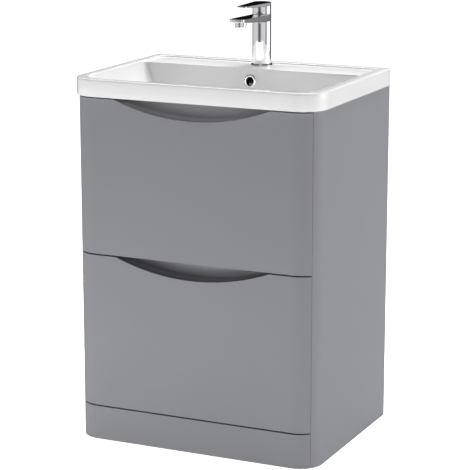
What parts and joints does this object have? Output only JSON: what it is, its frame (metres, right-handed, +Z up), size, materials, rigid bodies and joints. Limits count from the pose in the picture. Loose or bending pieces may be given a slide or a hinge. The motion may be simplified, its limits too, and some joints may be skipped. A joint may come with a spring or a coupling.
{
  "type": "bathroom vanity unit",
  "caption": "Floor-standing bathroom vanity cabinet with curved front corners, drawers with crescent finger grips, an inset white basin and a single-lever mixer tap.",
  "frame": {"origin": "bottom centre of the unit's bounding box, on the floor", "axes": "+Z up, +Y towards the wall, +X to the right when facing the drawers"},
  "size_m": [0.61, 0.455, 0.9945],
  "materials": {
    "painted_board": "satin grey-blue paint on fibreboard",
    "carcass_board": "pale grey melamine-faced board",
    "drawer_board": "light grey melamine-faced board",
    "cast_white": "gloss white gel coat on cast mineral resin",
    "chrome": "polished chrome plate",
    "runner_steel": "zinc-plated steel",
    "brass": "plain machined brass",
    "black_rubber": "matt black rubber"
  },
  "bodies": {
    "cabinet": {"side_panel_right": "painted_board", "side_panel_left": "painted_board", "plinth": "painted_board", "bottom_panel": "carcass_board", "back_rail_top": "carcass_board", "back_rail_bottom": "carcass_board", "front_rail_top": "carcass_board", "front_rail_middle": "carcass_board", "upper_runner_packer_right": "carcass_board", "upper_runner_packer_left": "carcass_board", "upper_runner_fixed_right": "runner_steel", "upper_runner_fixed_left": "runner_steel", "lower_runner_packer_right": "carcass_board", "lower_runner_packer_left": "carcass_board", "lower_runner_fixed_right": "runner_steel", "lower_runner_fixed_left": "runner_steel", "basin": "cast_white", "overflow_trough": "cast_white", "overflow_ring": "chrome", "waste_body": "chrome", "waste_nut": "brass", "tap_base_ring": "chrome", "tap_body": "chrome", "tap_aerator": "chrome", "tap_cartridge": "brass", "tap_shank": "brass", "tap_washer": "black_rubber", "tap_nut": "brass"},
    "upper_runner_middles": {"upper_runner_middle_right": "runner_steel", "upper_runner_middle_left": "runner_steel"},
    "lower_runner_middles": {"lower_runner_middle_right": "runner_steel", "lower_runner_middle_left": "runner_steel"},
    "upper_drawer": {"upper_drawer_front": "painted_board", "upper_grip_housing": "painted_board", "upper_box_front": "drawer_board", "upper_box_side_right": "drawer_board", "upper_box_side_left": "drawer_board", "upper_box_base": "drawer_board", "upper_lining_front": "drawer_board", "upper_lining_right": "drawer_board", "upper_lining_left": "drawer_board", "upper_box_back_right": "drawer_board", "upper_box_back_left": "drawer_board", "upper_runner_drawer_right": "runner_steel", "upper_runner_drawer_left": "runner_steel"},
    "lower_drawer": {"lower_drawer_front": "painted_board", "lower_grip_housing": "painted_board", "lower_box_front": "drawer_board", "lower_box_side_right": "drawer_board", "lower_box_side_left": "drawer_board", "lower_box_base": "drawer_board", "lower_box_back": "drawer_board", "lower_runner_drawer_right": "runner_steel", "lower_runner_drawer_left": "runner_steel"},
    "tap_swivel": {"tap_spindle": "runner_steel"},
    "tap_handle": {"tap_lever": "chrome"},
    "waste_plug": {"waste_plug": "chrome"}
  },
  "joints": [
    {"name": "upper_drawer_slide", "type": "slide", "parent": "cabinet", "child": "upper_drawer", "axis": [0, -1, 0], "range_m": [0, 0.32]},
    {"name": "upper_runner_slide", "type": "slide", "parent": "cabinet", "child": "upper_runner_middles", "axis": [0, -1, 0], "range_m": [0, 0.16]},
    {"name": "lower_drawer_slide", "type": "slide", "parent": "cabinet", "child": "lower_drawer", "axis": [0, -1, 0], "range_m": [0, 0.32]},
    {"name": "lower_runner_slide", "type": "slide", "parent": "cabinet", "child": "lower_runner_middles", "axis": [0, -1, 0], "range_m": [0, 0.16]},
    {"name": "tap_swivel", "type": "hinge", "parent": "cabinet", "child": "tap_swivel", "pos_m": [0, 0.1655, 0.966], "axis": [0, 0, 1], "range_deg": [-45, 45]},
    {"name": "tap_lift", "type": "hinge", "parent": "tap_swivel", "child": "tap_handle", "pos_m": [0, 0.1855, 0.966], "axis": [-1, 0, 0], "range_deg": [0, 20]},
    {"name": "waste_plug_lift", "type": "slide", "parent": "cabinet", "child": "waste_plug", "axis": [0, 0, 1], "range_m": [0, 0.008]}
  ],
  "couplings": [
    {"joint": "upper_runner_slide", "follows": "upper_drawer_slide", "ratio": 0.5},
    {"joint": "lower_runner_slide", "follows": "lower_drawer_slide", "ratio": 0.5}
  ]
}
